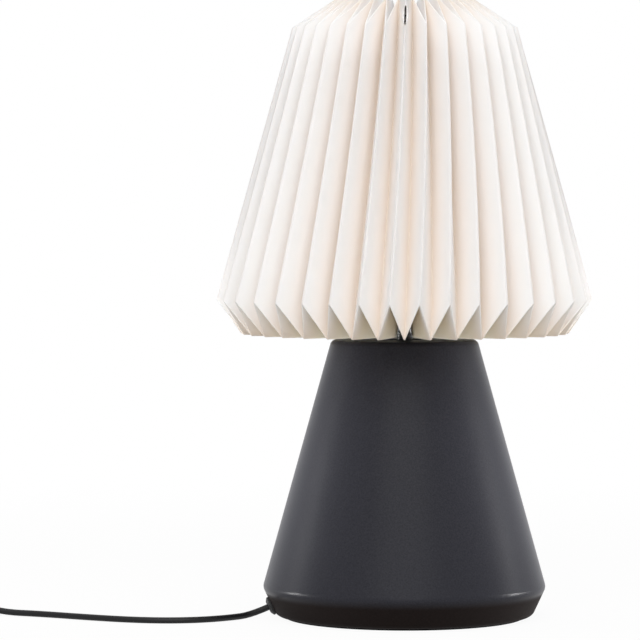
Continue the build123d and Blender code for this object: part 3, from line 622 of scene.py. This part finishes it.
def twistedRing(size):
    bm = bmesh.new()
    ply = bm.verts.layers.float.new("ply")
    middle = Matrix.Translation((size["radius"], 0, size["height"]))
    upright = middle @ Matrix.Rotation(math.pi / 2, 4, "X")
    out = size["strand"] * size["spacing"]
    for strand in range(size["strands"]):
        lean = 2 * math.pi * strand / size["strands"]
        place = upright @ Matrix.Translation((out * math.cos(lean), out * math.sin(lean), 0))
        circle = bmesh.ops.create_circle(
            bm, segments=size["sides"], radius=size["strand"] * size["plump"], matrix=place,
        )
        for vert in circle["verts"]:
            # every other strand is marked for the painted shade
            vert[ply] = strand % 2
    bmesh.ops.spin(
        bm, geom=everything(bm), cent=(0, 0, 0), axis=(0, 0, 1), dvec=(0, 0, 0),
        angle=2 * math.pi, steps=size["steps"], use_merge=True,
    )
    for vert in bm.verts:
        around = math.atan2(vert.co.y, vert.co.x)
        away = math.hypot(vert.co.x, vert.co.y) - size["radius"]
        up = vert.co.z - size["height"]
        lay = around * size["turns"]
        radius = size["radius"] + away * math.cos(lay) - up * math.sin(lay)
        vert.co = (
            radius * math.cos(around), radius * math.sin(around),
            size["height"] + away * math.sin(lay) + up * math.cos(lay),
        )
    bmesh.ops.recalc_face_normals(bm, faces=bm.faces[:])
    piece = meshPiece("gatherStrands", bm)
    putOn(piece, "shade", "gather_cord_grey", "gather_cord")


twistedRing(gatherCord)
print("gathering cord laid")


# Lamp tube with its rolled thread

tubeThread = {
    "pitch": 0.001, "depth": 0.00055, "wall": 0.00095, "steps": 40,
    "lead": 0.00025, "sunk": 0.0001, "profile": (0.05, 0.45, 0.55, 0.95), "sharp": math.radians(40),
}


def threadedTube(size):
    low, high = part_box("lamp_tube")
    crest = high.x
    root = crest - size["depth"]
    bm = bmesh.new()
    bore = crest - size["wall"]
    outline = [(bore, low.z), (root, low.z), (root, high.z), (bore, high.z)]
    loop = [bm.verts.new((radius, 0, height)) for radius, height in outline]
    for here, there in zip(loop, loop[1:] + loop[:1]):
        bm.edges.new((here, there))
    bmesh.ops.spin(
        bm, geom=everything(bm), cent=(0, 0, 0), axis=(0, 0, 1), dvec=(0, 0, 0),
        angle=2 * math.pi, steps=size["steps"], use_merge=True,
    )
    turns = int((high.z - low.z) / size["pitch"]) - 1
    foot = low.z + size["lead"]
    inside = root - size["sunk"]
    ridge = zip((inside, crest, crest, inside), size["profile"])
    loop = [bm.verts.new((radius, 0, foot + share * size["pitch"])) for radius, share in ridge]
    start = bm.faces.new(loop)
    bmesh.ops.spin(
        bm, geom=[start, *start.edges, *start.verts], cent=(0, 0, 0), axis=(0, 0, 1),
        dvec=(0, 0, size["pitch"] / size["steps"]),
        angle=2 * math.pi * turns, steps=turns * size["steps"],
    )
    bmesh.ops.recalc_face_normals(bm, faces=bm.faces[:])
    piece = meshPiece("threadedTube", bm)
    piece.data.set_sharp_from_angle(angle=size["sharp"])
    putOn(piece, "base", "tube_black", "lamp_tube")


threadedTube(tubeThread)
print("tube threaded")


# Mains cord: out of the grommet, over the floor, through the switch, round the coil and into the plug

mainsCord = {
    "diameter": 0.0038, "length": 1.83, "roundSteps": 5, "lengthSteps": 6,
    "run": (
        (-0.07608, -0.01069, 0.00929), (-0.09078, -0.01276, 0.00243), (-0.105, -0.026, 0.002),
        (-0.121, -0.037, 0.002), (-0.141, -0.041, 0.002), (-0.163, -0.037, 0.002),
        (-0.190, -0.024, 0.002), (-0.218, -0.008, 0.002), (-0.244, -0.001, 0.0024),
        (-0.259, 0.0015, 0.008), (-0.276, 0.0015, 0.008),
    ),
    "link": (
        (-0.330, 0.0015, 0.008), (-0.345, 0.0015, 0.008), (-0.360, 0.012, 0.0048),
        (-0.367, 0.030, 0.0031), (-0.367, 0.0482, 0.0031),
    ),
    "coilCentre": (-0.3395, 0.052), "coilRadius": 0.0275, "coilHeight": 0.0031,
    "coilStep": 0.0025, "coilRise": 0.0045, "layers": 4, "halfTurns": 4, "pointsPerHalf": 12,
    "tail": (
        (-0.3695, 0.0558, 0.0166), (-0.3695, 0.070, 0.0166), (-0.363, 0.086, 0.011),
        (-0.349, 0.094, 0.00695), (-0.334, 0.094, 0.00695),
    ),
}


def coilPoints(size):
    # each layer spirals in or out, and the half turn between two layers climbs
    points = []
    radius, height, side = size["coilRadius"], size["coilHeight"], -1
    centreX, centreY = size["coilCentre"]
    count = size["pointsPerHalf"]
    stretch = 1 / math.cos(math.pi / count / 2)
    at = centreX + side * radius
    for layer in range(size["layers"]):
        last = layer == size["layers"] - 1
        step = size["coilStep"] if layer % 2 else -size["coilStep"]
        for change in [step] * (size["halfTurns"] + last) + [0] * (not last):
            radius += change
            side = -side
            knot = centreX + side * radius
            middle, half = (at + knot) / 2, abs(knot - at) / 2 * stretch
            rise = 0 if change else size["coilRise"]
            for index in range(count):
                share = (index + 0.5) / count
                turn = math.pi * share
                points.append((
                    middle - side * half * math.cos(turn),
                    centreY + side * half * math.sin(turn),
                    height + rise * share,
                ))
            at, height = knot, height + rise
    return points


def mainsLead(size):
    route = [*size["run"], *size["link"], *coilPoints(size), *size["tail"]]
    curve = bpy.data.curves.new("mainsCord", "CURVE")
    curve.dimensions = "3D"
    curve.bevel_depth = 1.0  # each point's radius is the cord's own
    curve.bevel_resolution = size["roundSteps"]
    curve.resolution_u = size["lengthSteps"]
    curve.use_fill_caps = True
    spline = curve.splines.new("NURBS")
    spline.points.add(len(route) - 1)
    for point, place in zip(spline.points, route):
        point.co = (*place, 1.0)
        point.radius = size["diameter"] / 2
    spline.order_u = 3
    spline.use_endpoint_u = True
    piece = bpy.data.objects.new("mainsCord", curve)
    bpy.context.scene.collection.objects.link(piece)
    putOn(piece, "base", "cord_black", "cord_run", "cord_link", "cord_coil", "cord_tail")
    return piece


lead = mainsLead(mainsCord)
print("mains cord laid")


# Tie round the coil

coilTie = {"wall": 0.0008, "rounding": 0.0024, "roundSteps": 5, "softShare": 0.3, "softSteps": 2}


def tieBand(size):
    low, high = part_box("cord_tie")
    bm = bmesh.new()
    corners = [(low.x, low.z), (high.x, low.z), (high.x, high.z), (low.x, high.z)]
    loop = [bm.verts.new((x, low.y, z)) for x, z in corners]
    face = bm.faces.new(loop)
    bmesh.ops.bevel(
        bm, geom=face.verts[:], offset=size["rounding"], offset_type="OFFSET",
        segments=size["roundSteps"], profile=0.5, affect="VERTICES", material=-1,
    )
    bmesh.ops.delete(bm, geom=bm.faces[:], context="FACES_ONLY")
    grown = bmesh.ops.extrude_edge_only(bm, edges=bm.edges[:])
    moved = [part for part in grown["geom"] if isinstance(part, bmesh.types.BMVert)]
    bmesh.ops.translate(bm, verts=moved, vec=(0, high.y - low.y, 0))
    bmesh.ops.recalc_face_normals(bm, faces=bm.faces[:])
    piece = meshPiece("coilTie", bm)
    band = piece.modifiers.new("band", "SOLIDIFY")
    band.thickness = size["wall"]
    band.offset = -1.0
    band.use_even_offset = True
    soft = piece.modifiers.new("soft", "BEVEL")
    soft.width = size["wall"] * size["softShare"]
    soft.segments = size["softSteps"]
    putOn(piece, "base", "tie_black", "cord_tie")
    return piece


tie = tieBand(coilTie)
print("coil tied")


# Floor, background, lights and camera

studio = {
    "floorSize": 40.0, "glowNear": 0.94, "glowFar": 1.0, "fadeFrom": 0.35, "fadeTo": 1.1,
    "white": (1.0, 1.0, 1.0), "floorLit": (0.95, 0.95, 0.95), "floorBounce": (0.70, 0.665, 0.63),
    "ambient": 0.47, "leftShare": 0.85,
    "strip": {
        "place": (1.08, 0.14, 0.07), "size": (0.06, 0.20), "power": 0.17, "aim": (0.0, 0.0, 0.07),
        "spread": math.radians(12.0),
    },
    "front": {"place": (0.0, -2.0, 1.7), "size": (2.2, 1.4), "power": 29.3, "aim": (0.0, 0.0, 0.2)},
    "fill": {"place": (0.0, -2.9, 0.42), "size": (1.6, 0.9), "power": 10.0, "aim": (0.0, 0.0, 0.24)},
    "top": {"place": (0.0, 0.1, 1.7), "size": (1.4, 1.4), "power": 6.5, "aim": (0.0, 0.0, 0.2)},
}


def whiteRays(tree):
    # one for camera, glossy and transmission rays, so that all of them meet the same white
    path = tree.nodes.new("ShaderNodeLightPath")
    twoKinds = mathNode(tree, "MAXIMUM")
    allKinds = mathNode(tree, "MAXIMUM")
    link = tree.links.new
    link(path.outputs["Is Camera Ray"], twoKinds.inputs[0])
    link(path.outputs["Is Glossy Ray"], twoKinds.inputs[1])
    link(twoKinds.outputs[0], allKinds.inputs[0])
    link(path.outputs["Is Transmission Ray"], allKinds.inputs[1])
    return allKinds.outputs[0]


def paleFloor(size):
    bm = bmesh.new()
    bmesh.ops.create_grid(bm, x_segments=1, y_segments=1, size=size["floorSize"])
    floor = meshPiece("studioFloor", bm)
    material = bpy.data.materials.new("studioFloor")
    material.use_nodes = True
    tree = material.node_tree
    tree.nodes.clear()
    link = tree.links.new
    lit = addNode(tree, "ShaderNodeBsdfDiffuse", Color=opaque(size["floorLit"]))
    glow = addNode(tree, "ShaderNodeEmission", Color=opaque(size["white"]), Strength=1.0)
    seen = tree.nodes.new("ShaderNodeMixShader")
    bounced = addNode(tree, "ShaderNodeBsdfDiffuse", Color=opaque(size["floorBounce"]))
    place = tree.nodes.new("ShaderNodeTexCoord")
    away = tree.nodes.new("ShaderNodeVectorMath")
    away.operation = "LENGTH"
    fade = addNode(tree, "ShaderNodeMapRange", **{
        "From Min": size["fadeFrom"], "From Max": size["fadeTo"],
        "To Min": size["glowNear"], "To Max": size["glowFar"],
    })
    fade.interpolation_type = "SMOOTHSTEP"
    either = tree.nodes.new("ShaderNodeMixShader")
    output = tree.nodes.new("ShaderNodeOutputMaterial")
    link(place.outputs["Object"], away.inputs[0])
    link(away.outputs["Value"], fade.inputs["Value"])
    link(fade.outputs["Result"], seen.inputs["Fac"])
    link(lit.outputs[0], seen.inputs[1])
    link(glow.outputs[0], seen.inputs[2])
    link(whiteRays(tree), either.inputs["Fac"])
    link(bounced.outputs[0], either.inputs[1])
    link(seen.outputs[0], either.inputs[2])
    link(either.outputs[0], output.inputs["Surface"])
    floor.data.materials.append(material)


def paleWorld(size):
    world = bpy.data.worlds.new("studio")
    world.use_nodes = True
    tree = world.node_tree
    tree.nodes.clear()
    colour = opaque(size["white"])
    dim = addNode(tree, "ShaderNodeBackground", Color=colour, Strength=size["ambient"])
    white = addNode(tree, "ShaderNodeBackground", Color=colour, Strength=1.0)
    either = tree.nodes.new("ShaderNodeMixShader")
    output = tree.nodes.new("ShaderNodeOutputWorld")
    tree.links.new(whiteRays(tree), either.inputs["Fac"])
    tree.links.new(dim.outputs[0], either.inputs[1])
    tree.links.new(white.outputs[0], either.inputs[2])
    tree.links.new(either.outputs[0], output.inputs["Surface"])
    bpy.context.scene.world = world


def softBox(name, look, side=1, share=1.0):
    light = bpy.data.lights.new(name, "AREA")
    light.shape = "RECTANGLE"
    light.size, light.size_y = look["size"]
    light.energy = look["power"] * share
    light.spread = look.get("spread", math.pi)
    lamp = bpy.data.objects.new(name, light)
    x, y, z = look["place"]
    lamp.location = (side * x, y, z)
    lamp.rotation_mode = "QUATERNION"
    towards = Vector(look["aim"]) - lamp.location
    lamp.rotation_quaternion = towards.to_track_quat("-Z", "Y")
    bpy.context.scene.collection.objects.link(lamp)


cameraView = {
    "place": (0.0, -2.3, 0.265), "aim": (-0.0507, 0.0, 0.1786), "lens": 215.7, "sensor": 36.0,
}


def photoCamera(size):
    data = bpy.data.cameras.new("camera")
    data.lens = size["lens"]
    data.sensor_width = size["sensor"]
    camera = bpy.data.objects.new("camera", data)
    camera.location = size["place"]
    camera.rotation_mode = "QUATERNION"
    towards = Vector(size["aim"]) - Vector(size["place"])
    camera.rotation_quaternion = towards.to_track_quat("-Z", "Y")
    bpy.context.scene.collection.objects.link(camera)
    bpy.context.scene.camera = camera


paleFloor(studio)
paleWorld(studio)
softBox("stripLeft", studio["strip"], -1, studio["leftShare"])
softBox("stripRight", studio["strip"])
softBox("frontLight", studio["front"])
softBox("fillLight", studio["fill"])
softBox("topLight", studio["top"])
photoCamera(cameraView)
bpy.context.scene.view_settings.view_transform = "Standard"
print("studio set")
